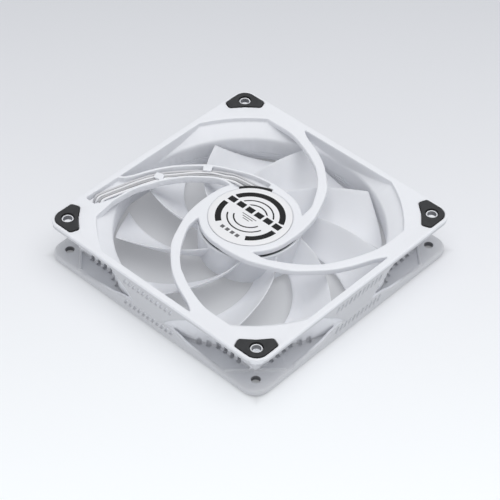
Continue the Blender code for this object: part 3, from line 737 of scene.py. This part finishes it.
def board_material(name):
    mat, tree, shader = nodes_of(name)
    new, wire = tree.nodes.new, tree.links.new
    coord = new("ShaderNodeTexCoord")
    tracks = new("ShaderNodeTexBrick")
    tracks.inputs["Scale"].default_value = 420.0
    tracks.inputs["Mortar Size"].default_value = 0.12
    tracks.inputs["Color1"].default_value = (0.02, 0.13, 0.05, 1)
    tracks.inputs["Color2"].default_value = (0.025, 0.16, 0.06, 1)
    tracks.inputs["Mortar"].default_value = (0.05, 0.26, 0.1, 1)
    wire(coord.outputs["Object"], tracks.inputs["Vector"])
    wire(tracks.outputs["Color"], shader.inputs["Base Color"])
    rise = new("ShaderNodeBump")
    rise.inputs["Strength"].default_value = 0.3
    rise.inputs["Distance"].default_value = 0.0001
    wire(tracks.outputs["Fac"], rise.inputs["Height"])
    wire(rise.outputs["Normal"], shader.inputs["Normal"])
    shader.inputs["Roughness"].default_value = 0.35
    return mat


# The frame's material carries painted shade on its outer sides, on its low flange and deep in the screw holes.
FRAME_WHITE = plastic("white_moulded_frame", (0.785, 0.795, 0.83), 0.46, grain=0.16, bump=0.10, mottle=0.012, lower=0.72)
BLADE_WHITE = plastic("white_moulded_blades", (0.775, 0.785, 0.82), 0.38, grain=0.22, bump=0.06, mottle=0.012, sss=0.35)
LABEL_WHITE = plastic("label_film_white", (0.80, 0.80, 0.815), 0.42, grain=0.3, bump=0.04, mottle=0.01)
LABEL_BLACK = plastic("label_ink_black", (0.010, 0.010, 0.011), 0.42, grain=0.3, bump=0.04, mottle=0.003, spec=0.25)
LABEL_GREY = plastic("label_ink_grey", (0.14, 0.14, 0.145), 0.45, grain=0.3, bump=0.04, mottle=0.02, spec=0.25)
COVER_BLACK = plastic("slot_cover_black", (0.012, 0.012, 0.013), 0.5, grain=0.2, bump=0.15, mottle=0.004, spec=0.3)
SOCKET_WHITE = plastic("white_socket", (0.78, 0.78, 0.77), 0.5, grain=0.2, bump=0.12, mottle=0.015)
NYLON = plastic("natural_nylon", (0.66, 0.64, 0.57), 0.5, grain=0.2, bump=0.12, mottle=0.03)
CHIP = plastic("chip_package", (0.02, 0.02, 0.021), 0.5, grain=0.12, bump=0.3, mottle=0.008)
FERRITE = plastic("bonded_ferrite", (0.045, 0.04, 0.038), 0.6, grain=0.15, bump=0.3, mottle=0.015)
RUBBER = rubber("pad_rubber")
WIRES = [
    plastic("wire_sleeve_white", (0.88, 0.88, 0.9), 0.38, grain=0.25, bump=0.1, mottle=0.03),
    plastic("wire_sleeve_grey", (0.46, 0.46, 0.475), 0.36, grain=0.25, bump=0.1, mottle=0.03),
    plastic("wire_sleeve_pale", (0.82, 0.82, 0.84), 0.38, grain=0.25, bump=0.1, mottle=0.03),
    plastic("wire_sleeve_silver", (0.58, 0.58, 0.6), 0.36, grain=0.25, bump=0.1, mottle=0.03),
]
BRASS = metal("turned_brass", (0.78, 0.58, 0.28), 0.28)
BRONZE = metal("sintered_bronze", (0.55, 0.38, 0.2), 0.5, "plain", 2600.0)
STEEL = metal("ground_steel", (0.66, 0.66, 0.68), 0.22)
YOKE = metal("zinc_plated_yoke", (0.5, 0.51, 0.53), 0.35)
COPPER = metal("enamelled_copper", (0.8, 0.36, 0.16), 0.25, "wound", 330.0)
LAMINATIONS = metal("stacked_laminations", (0.36, 0.37, 0.39), 0.45, "stacked", 300.0)
BOARD = board_material("solder_mask")


def paint(obj, mat):
    obj.data.materials.clear()
    obj.data.materials.append(mat)
    return obj


def stand_for(obj, body, slot, *nodes):
    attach(obj, body)
    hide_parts(*nodes)
    return obj


# ------------------------------------------------------------------ the moulded pieces
shell = frame_solid()
add_arms(shell)
add_holes(shell)
shell.name = "frame_shell"
moulded(shell, VOXEL, 6, MOST_FACES)
# The fine parting rings low in the duct, cut after the skin so that they stay crisp.
for z, r, deep in ((7.9, BORE_R, 0.42), (6.3, 66.65, 0.34), (4.75, 66.9, 0.34)):
    ring = lathe("ring", [(r - 1.2, z - 0.2), (r + 0.25, z - 0.2), (r + deep, z - 0.05), (r + deep, z + 0.12), (r + 0.25, z + 0.2), (r - 1.2, z + 0.2)], 240)
    boolean(shell, ring, "DIFFERENCE")
shell.data.shade_smooth()
shell.data.set_sharp_from_angle(angle=math.radians(50))
paint(shell, FRAME_WHITE)
stand_for(shell, "housing", "frame_plastic", "frame")

rotor = impeller_solid()
rotor.name = "impeller_shell"
moulded(rotor, VOXEL, 6, MOST_FACES)
paint(rotor, BLADE_WHITE)
stand_for(rotor, "rotor", "blade_plastic", "impeller")


def pad_piece(name, k, z0, z1, crown):
    """A rubber pad with a rounded outer rim and a countersunk hole. crown is the side that stands proud."""
    outline = quarter(pad_outline(0, 10), k)
    if area2(outline) < 0:
        outline = outline[::-1]
    r = 0.45
    arc = [(r * (1 - math.sin(a)), r * (1 - math.cos(a))) for a in [math.pi / 2 * i / 5 for i in range(6)]]
    rings = []
    if crown > 0:
        levels = [(z0, 0.1), (z0 + 0.1, 0)] + [(z1 - d, c) for d, c in [(x, y) for x, y in arc]]
    else:
        levels = [(z0 + d, c) for d, c in arc[::-1]] + [(z1 - 0.1, 0), (z1, 0.1)]
    for z, c in levels:
        ring = offset(outline, c, closed=True) if c else outline
        rings.append([(x, y, z) for x, y in ring])
    pad = loft(name, rings)
    hx, hy = quarter([(HOLE, HOLE)], k)[0]
    if crown > 0:
        hole = ((3.25, z0 - 3), (3.25, z1 - 0.3), (3.34, z1 - 0.1), (3.55, z1 + 0.01), (3.6, z1 + 2))
    else:
        hole = ((3.6, z0 - 2), (3.55, z0 - 0.01), (3.34, z0 + 0.1), (3.25, z0 + 0.3), (3.25, z1 + 3))
    boolean(pad, loft("cut", [[(x, y, z) for x, y in disc(hx, hy, rr, 64)] for rr, z in hole]), "DIFFERENCE")
    pad.data.shade_smooth()
    pad.data.set_sharp_from_angle(angle=math.radians(40))
    paint(pad, RUBBER)
    return pad


for k in range(4):
    top = pad_piece(f"rear_pad_skin_{k + 1}", k, 23.2, THICK, 1)
    stand_for(top, "housing", "pad_rubber", f"rear_pad_{k + 1}")
    low = pad_piece(f"front_pad_skin_{k + 1}", k, 0.0, 1.8, -1)
    stand_for(low, "housing", "pad_rubber", f"front_pad_{k + 1}")


# ------------------------------------------------------------------ the label, with a plain printed pattern
def label_piece():
    """A thin disc whose top is divided along the printed marks, so that each mark is its own faces."""
    z0, z1 = 23.9, 24.25
    radii = [0.0, 7.7, 8.45, 10.9, 11.65, 14.2, 17.2, 20.2, 20.45, 20.5]
    heights = [z1, z1, z1, z1, z1, z1, z1, z1, z1 - 0.05, z1 - 0.15]
    steps = 360
    verts, faces, inks = [], [], []
    rings = []
    for r, z in zip(radii, heights):
        if r == 0:
            rings.append([0] * steps)
            verts.append((0, 0, z))
            continue
        rings.append([len(verts) + i for i in range(steps)])
        verts += [(r * math.cos(math.radians(i)), r * math.sin(math.radians(i)), z) for i in range(steps)]
    for b in range(len(radii) - 1):
        for i in range(steps):
            j = (i + 1) % steps
            face = [rings[b][i], rings[b + 1][i], rings[b + 1][j], rings[b][j]]
            face = list(dict.fromkeys(face))
            ink = 0
            if b == 5 and (22 <= i < 158 or 181 <= i < 236 or 304 <= i < 359):
                ink = 1
            if b in (1, 3) and (28 <= i < 160 or 208 <= i < 340):
                ink = 1
            faces.append(face)
            inks.append(ink)
    low = [len(verts) + i for i in range(steps)]
    verts += [(20.5 * math.cos(math.radians(i)), 20.5 * math.sin(math.radians(i)), z0) for i in range(steps)]
    for i in range(steps):
        j = (i + 1) % steps
        faces.append([rings[-1][i], low[i], low[j], rings[-1][j]])
        inks.append(0)
    faces.append(low[::-1])
    inks.append(0)
    mesh = bpy.data.meshes.new("label_print")
    mesh.from_pydata([Vector(v) * MM for v in verts], [], faces)
    for mat in (LABEL_WHITE, LABEL_BLACK, LABEL_GREY):
        mesh.materials.append(mat)
    mesh.polygons.foreach_set("material_index", inks)
    mesh.shade_smooth()
    mesh.set_sharp_from_angle(angle=math.radians(40))
    return link("label_print", mesh)


label = label_piece()
stand_for(label, "housing", "label_film", "label_disc")


def ink_marks(name, shapes, mat, z=24.25, thick=0.03):
    """Printed marks as thin films on the label: each shape is a plan outline."""
    verts, faces = [], []
    for shape in shapes:
        if area2(shape) < 0:
            shape = shape[::-1]
        n, base = len(shape), len(verts)
        verts += [(x, y, z - 0.02) for x, y in shape] + [(x, y, z + thick) for x, y in shape]
        faces.append([base + i for i in range(n)][::-1])
        faces.append([base + n + i for i in range(n)])
        for i in range(n):
            j = (i + 1) % n
            faces.append([base + i, base + j, base + n + j, base + n + i])
    obj = make(name, verts, faces, merge=False)
    paint(obj, mat)
    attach(obj, "housing")
    return obj


def slab(x, y, w, h, lean=0.0):
    return [(x - w / 2 - lean, y - h / 2), (x + w / 2 - lean, y - h / 2), (x + w / 2 + lean, y + h / 2), (x - w / 2 + lean, y + h / 2)]


# A row of equal plain dashes across the label, and a few plain squares and short lines below it.
dashes = [slab((i - 2.5) * 5.8, 3.2, 4.4, 3.4) for i in range(6)]
white_band = [slab(0, 3.2, 35.2, 5.3)]
ink_marks("label_band", white_band, LABEL_WHITE, z=24.25, thick=0.02)
ink_marks("label_dashes", dashes, LABEL_BLACK, z=24.27, thick=0.02)
ink_marks("label_lines", [slab(0.0, -0.6 - 1.3 * i, 9.0 - 2.5 * i, 0.45) for i in range(3)], LABEL_GREY)
ink_marks("label_squares", [slab((i - 1.5) * 3.2, -14.4, 2.0, 2.0) for i in range(4)], LABEL_GREY)


# ------------------------------------------------------------------ the black strip over the wires' slot
arc = [math.radians(106 + 40 * i / 40) for i in range(41)]
strip = [(22.35 * math.cos(a), 22.35 * math.sin(a)) for a in arc]
for i in range(1, 12):
    t = math.pi * i / 12
    radial, along = 21.6 + 0.75 * math.cos(t), 0.75 * math.sin(t)
    c, d = math.cos(arc[-1]), math.sin(arc[-1])
    strip.append((radial * c - along * d, radial * d + along * c))
strip += [(20.85 * math.cos(a), 20.85 * math.sin(a)) for a in arc[::-1]]
for i in range(1, 12):
    t = math.pi + math.pi * i / 12
    radial, along = 21.6 + 0.75 * math.cos(t), 0.75 * math.sin(t)
    c, d = math.cos(arc[0]), math.sin(arc[0])
    strip.append((radial * c - along * d, radial * d + along * c))
cover = soft_prism("slot_strip", strip, 23.35, 24.2, 0.1, 0.25)
cover.data.shade_smooth()
cover.data.set_sharp_from_angle(angle=math.radians(40))
paint(cover, COVER_BLACK)
stand_for(cover, "housing", "cover_black", "slot_cover")

# ------------------------------------------------------------------ wires
CHANNEL_MID = [(-19.3, 17.0), (-24.5, 16.3), (-30.0, 13.6), (-35.6, 10.4), (-41.6, 5.4), (-47.0, -0.8), (-52.2, -7.6),
               (-55.6, -14.0), (-58.0, -20.6), (-59.8, -27.0), (-61.6, -33.2)]
LANE_WIDTH = [1.75, 1.6, 1.5, 1.5, 1.5, 1.5, 1.5, 1.5, 1.5, 1.5, 1.5]
for i in range(4):
    lane = i - 1.5
    path = []
    for j, p in enumerate(CHANNEL_MID):
        a = Vector(CHANNEL_MID[max(j - 1, 0)])
        b = Vector(CHANNEL_MID[min(j + 1, len(CHANNEL_MID) - 1)])
        d = (b - a).normalized()
        # The wires lie a little unevenly beside each other.
        sway = 0.13 * math.sin(1.9 * j + 2.3 * i)
        lift = 0.12 + 0.3 * max(0.0, math.sin(1.3 * j + 1.7 * i))
        side = Vector((-d.y, d.x)) * (-lane * LANE_WIDTH[j] + sway)
        path.append((p[0] + side.x, p[1] + side.y, WIRE_Z + lift))
    angle = math.radians(112.0 + 8.6 * (3 - i))
    c, s = math.cos(angle), math.sin(angle)
    start = [(r * c, r * s, z) for r, z in ((17.3, 20.1), (20.3, 20.1), (21.4, 21.0), (22.0, 22.0))]
    y = -42.0 + 2.54 * (i - 1.5)
    x = -61.0 - 1.5 * i
    end = [
        (x + 0.1, -38.3, WIRE_Z), (x, -41.2, 21.5), (x, -42.0, 19.0),
        (0.6 * x - 0.4 * 61.4, -0.6 * 42.0 + 0.4 * y, 16.4), (-61.4, y, 13.4), (-61.4, y, 11.85),
    ]
    points = spline([*start, *path[1:-1], *end], 8)
    curve = bpy.data.curves.new(f"wire_sleeve_{i + 1}", "CURVE")
    curve.dimensions = "3D"
    line = curve.splines.new("POLY")
    line.points.add(len(points) - 1)
    for point, p in zip(line.points, points):
        point.co = (p[0] * MM, p[1] * MM, p[2] * MM, 1)
    curve.bevel_depth = WIRE_R * MM
    curve.bevel_resolution = 5
    curve.use_fill_caps = True
    curve.materials.append(WIRES[i])
    wire_obj = bpy.data.objects.new(f"wire_sleeve_{i + 1}", curve)
    bpy.context.scene.collection.objects.link(wire_obj)
    stand_for(wire_obj, "housing", "wire_sleeve", f"wire_{i + 1}")

# ------------------------------------------------------------------ carried-over CAD nodes
LOOKS = {
    "bearing_tube": BRASS, "bearing_sleeve": BRONZE, "oil_seal": NYLON, "thrust_pad": NYLON, "shaft": STEEL, "shaft_clip": STEEL,
    "stator_core": LAMINATIONS, "bobbin_upper": NYLON, "bobbin_lower": NYLON, "circuit_board": BOARD, "driver_chip": CHIP,
    "hall_sensor": CHIP, "rotor_yoke": YOKE, "magnet_ring": FERRITE, "shaft_boss": BRASS, "lead_socket": SOCKET_WHITE,
}
for i in range(4):
    LOOKS[f"coil_{i + 1}"] = COPPER
    LOOKS[f"contact_pin_{i + 1}"] = BRASS
for name, mat in LOOKS.items():
    obj = NODES[name]
    obj.data.materials.clear()
    obj.data.materials.append(mat)
    weld = obj.modifiers.new("weld", "WELD")
    weld.merge_threshold = 0.00001
    width = {"lead_socket": 0.0003, "coil_1": 0.0005, "coil_2": 0.0005, "coil_3": 0.0005, "coil_4": 0.0005}.get(name, 0.00012)
    bevel = obj.modifiers.new("edges", "BEVEL")
    bevel.width = width
    bevel.segments = 2
    bevel.limit_method = "ANGLE"
    bevel.angle_limit = math.radians(35)
    bevel.harden_normals = False
    obj.data.shade_smooth()
    smooth = obj.data
    smooth.set_sharp_from_angle(angle=math.radians(35))


# ------------------------------------------------------------------ floor, light and camera
AZ, EL, ROLL = math.radians(42.52013801523008), math.radians(43.48233537748082), math.radians(0.9785234320331)


def floor_material():
    """A pale sweep of paper, painted a little darker towards the back as light falls off, with a painted shadow under
    the fan and a painted glow.
    """
    mat, tree, shader = nodes_of("pale_floor")
    new, wire = tree.nodes.new, tree.links.new
    coord = new("ShaderNodeTexCoord")
    # Painted fall-off of light: the paper is darker towards the back.
    aim = new("ShaderNodeVectorMath")
    aim.operation = "DOT_PRODUCT"
    aim.inputs[1].default_value = (-math.sin(AZ), math.cos(AZ), 0)
    wire(coord.outputs["Object"], aim.inputs[0])
    span = new("ShaderNodeMapRange")
    span.inputs["From Min"].default_value = -0.17
    span.inputs["From Max"].default_value = 0.21
    wire(aim.outputs["Value"], span.inputs["Value"])
    ramp = new("ShaderNodeValToRGB")
    ramp.color_ramp.elements[0].color = (0.92, 0.945, 0.965, 1)
    ramp.color_ramp.elements[1].color = (0.63, 0.64, 0.67, 1)
    middle = ramp.color_ramp.elements.new(0.45)
    middle.color = (0.79, 0.80, 0.83, 1)
    wire(span.outputs["Result"], ramp.inputs["Fac"])
    # Painted shadow under the fan: inside its square footprint the paper is darkened and glows less. Elsewhere the
    # floor glows, a painted light that lifts the shadows.
    part = new("ShaderNodeSeparateXYZ")
    wire(coord.outputs["Object"], part.inputs["Vector"])
    sizes = []
    for axis in "XY":
        size = new("ShaderNodeMath")
        size.operation = "ABSOLUTE"
        wire(part.outputs[axis], size.inputs[0])
        sizes.append(size)
    far = new("ShaderNodeMath")
    far.operation = "MAXIMUM"
    wire(sizes[0].outputs["Value"], far.inputs[0])
    wire(sizes[1].outputs["Value"], far.inputs[1])
    shade = new("ShaderNodeMapRange")
    shade.interpolation_type = "SMOOTHSTEP"
    shade.inputs["From Min"].default_value = 0.0655
    shade.inputs["From Max"].default_value = 0.0725
    shade.inputs["To Min"].default_value = 0.8
    wire(far.outputs["Value"], shade.inputs["Value"])
    painted_glow = new("ShaderNodeMapRange")
    painted_glow.interpolation_type = "SMOOTHSTEP"
    painted_glow.inputs["From Min"].default_value = 0.0655
    painted_glow.inputs["From Max"].default_value = 0.0725
    painted_glow.inputs["To Min"].default_value = 0.25
    painted_glow.inputs["To Max"].default_value = 0.38
    wire(far.outputs["Value"], painted_glow.inputs["Value"])
    dim = new("ShaderNodeVectorMath")
    dim.operation = "SCALE"
    wire(ramp.outputs["Color"], dim.inputs[0])
    wire(shade.outputs["Result"], dim.inputs["Scale"])
    paper = new("ShaderNodeVectorMath")
    paper.operation = "SCALE"
    paper.inputs["Scale"].default_value = 0.65
    wire(dim.outputs["Vector"], paper.inputs[0])
    wire(paper.outputs["Vector"], shader.inputs["Base Color"])
    wire(ramp.outputs["Color"], shader.inputs["Emission Color"])
    wire(painted_glow.outputs["Result"], shader.inputs["Emission Strength"])
    shader.inputs["Roughness"].default_value = 0.95
    shader.inputs["Specular IOR Level"].default_value = 0.0
    return mat


size = 6.0
floor_mesh = bpy.data.meshes.new("studio_floor")
floor_mesh.from_pydata([(-size, -size, -0.0002), (size, -size, -0.0002), (size, size, -0.0002), (-size, size, -0.0002)], [], [(0, 1, 2, 3)])
floor_mesh.materials.append(floor_material())
floor = link("studio_floor", floor_mesh)

TARGET = Vector((0.00736084796, -0.00782281485, 0.0119))
back = Vector((math.sin(AZ) * math.cos(EL), -math.cos(AZ) * math.cos(EL), math.sin(EL)))
right = Vector((math.cos(AZ), math.sin(AZ), 0))
up = back.cross(right)
x_axis = math.cos(ROLL) * right + math.sin(ROLL) * up
y_axis = -math.sin(ROLL) * right + math.cos(ROLL) * up
turn = Matrix((x_axis, y_axis, back)).transposed().to_4x4()
turn.translation = TARGET + back * 0.9371111115422668
camera_data = bpy.data.cameras.new("camera")
camera_data.sensor_width = 36.0
camera_data.lens = 1937.7169124507898 / 500 * 36.0
camera_data.clip_start = 0.02
camera = bpy.data.objects.new("camera", camera_data)
camera.matrix_world = turn
bpy.context.scene.collection.objects.link(camera)
bpy.context.scene.camera = camera


def area(name, place, aim, size, power, colour=(1, 1, 1), spread=180):
    data = bpy.data.lights.new(name, "AREA")
    data.shape = "RECTANGLE"
    data.size, data.size_y = size
    data.energy = power
    data.color = colour
    data.spread = math.radians(spread)
    obj = bpy.data.objects.new(name, data)
    place, aim = Vector(place), Vector(aim)
    obj.location = place
    obj.rotation_mode = "QUATERNION"
    obj.rotation_quaternion = (aim - place).to_track_quat("-Z", "Y")
    bpy.context.scene.collection.objects.link(obj)
    return obj


world = bpy.data.worlds.new("studio")
bpy.context.scene.world = world
world.use_nodes = True
sky = world.node_tree.nodes["Background"]
sky.inputs["Color"].default_value = (0.96, 0.98, 1.0, 1)
sky.inputs["Strength"].default_value = 0.53
area("overhead", (0.12, 0.12, 1.2), (0, 0, 0), (1.3, 1.3), 9.9)
area("front_fill", (0.75, -0.95, 0.4), (0, 0, 0.01), (1.3, 0.6), 0.7)
area("left_fill", (-0.5, -1.15, 0.2), (-0.02, 0, 0.01), (0.9, 0.36), 1.9)
area("right_fill", (1.15, 0.5, 0.2), (0, 0.02, 0.01), (0.9, 0.36), 1.6)
bpy.context.scene.view_settings.view_transform = "Standard"
bpy.context.scene.view_settings.look = "None"
